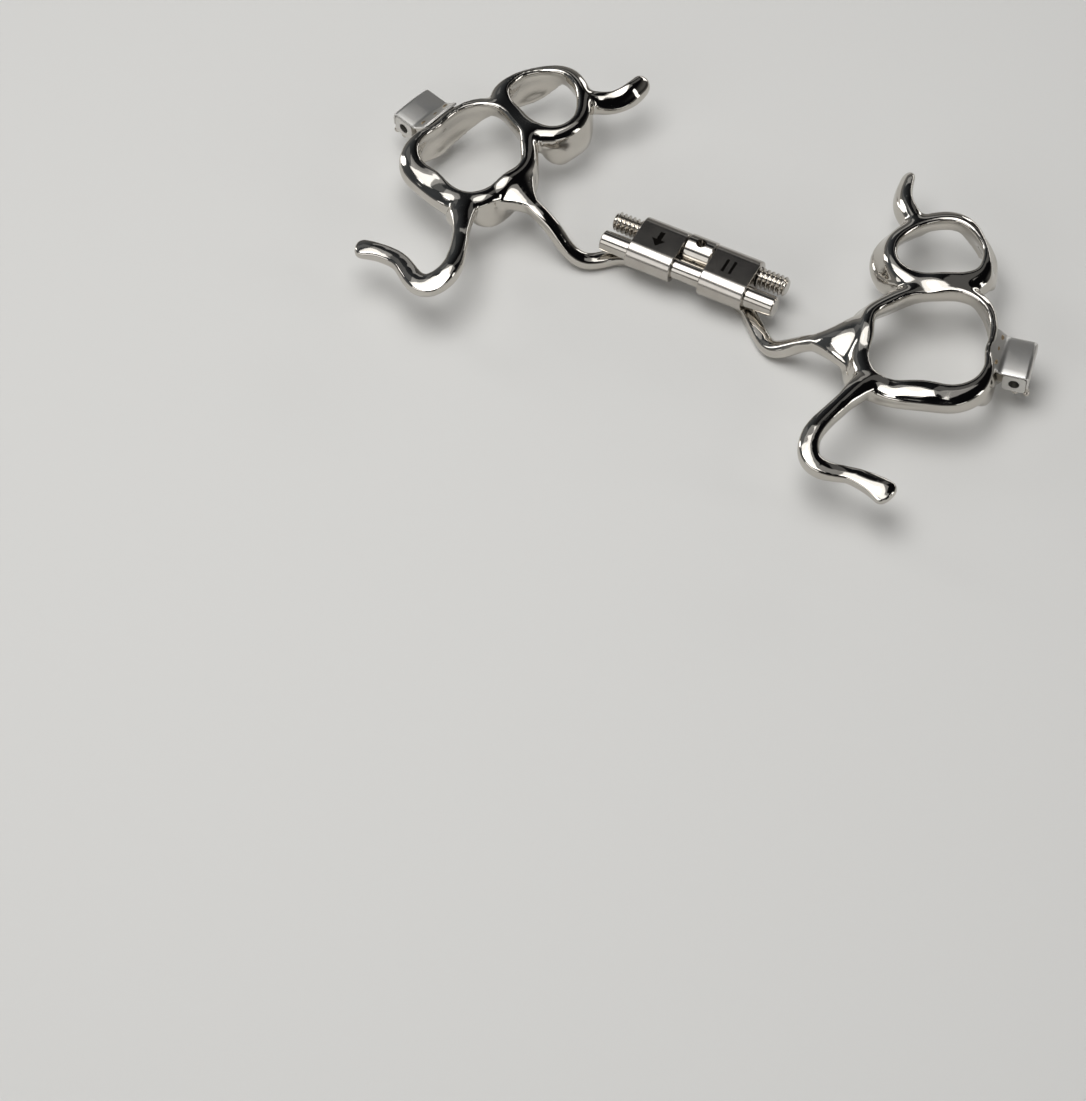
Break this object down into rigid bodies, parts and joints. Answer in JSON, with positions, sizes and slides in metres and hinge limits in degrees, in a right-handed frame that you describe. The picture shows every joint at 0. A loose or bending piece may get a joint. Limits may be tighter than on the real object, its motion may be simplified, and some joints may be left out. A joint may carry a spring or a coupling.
{
  "type": "palatal expander",
  "caption": "Upper-jaw palatal expander: a double-threaded screw between two polished frames that ring the milk molars, with rests, canine arms and cheek tubes.",
  "frame": {"origin": "middle of the spindle, where the crossed key holes meet", "axes": "+X along the screw towards the right-hand frame in the picture, +Y towards the front teeth, +Z towards the biting side"},
  "size_m": [0.0589, 0.0321, 0.0057],
  "materials": {
    "frame_metal": "mirror-polished cobalt-chrome",
    "arm_metal": "polished stainless wire",
    "screw_metal": "turned and polished stainless steel",
    "tube_metal": "satin stainless sheet"
  },
  "bodies": {
    "left_half": {"left_frame": "frame_metal", "left_retention_arm": "arm_metal", "left_housing": "screw_metal", "left_tube": "tube_metal", "left_tube_cover": "tube_metal", "left_tube_hook": "tube_metal"},
    "core": {"guide_rod": "screw_metal"},
    "screw": {"spindle": "screw_metal"},
    "right_half": {"right_frame": "frame_metal", "right_retention_arm": "arm_metal", "right_housing": "screw_metal", "right_tube": "tube_metal", "right_tube_cover": "tube_metal", "right_tube_hook": "tube_metal"}
  },
  "joints": [
    {"name": "left_opening", "type": "slide", "parent": "left_half", "child": "core", "axis": [1, 0, 0], "range_m": [0, 0.004]},
    {"name": "spindle_turn", "type": "hinge", "parent": "core", "child": "screw", "pos_m": [0, 0, 0], "axis": [1, 0, 0], "range_deg": [0, 3600]},
    {"name": "right_opening", "type": "slide", "parent": "core", "child": "right_half", "axis": [1, 0, 0], "range_m": [0, 0.004]}
  ],
  "couplings": [
    {"joint": "right_opening", "follows": "left_opening", "ratio": 1},
    {"joint": "spindle_turn", "follows": "left_opening", "rad_per_m": 15708}
  ]
}
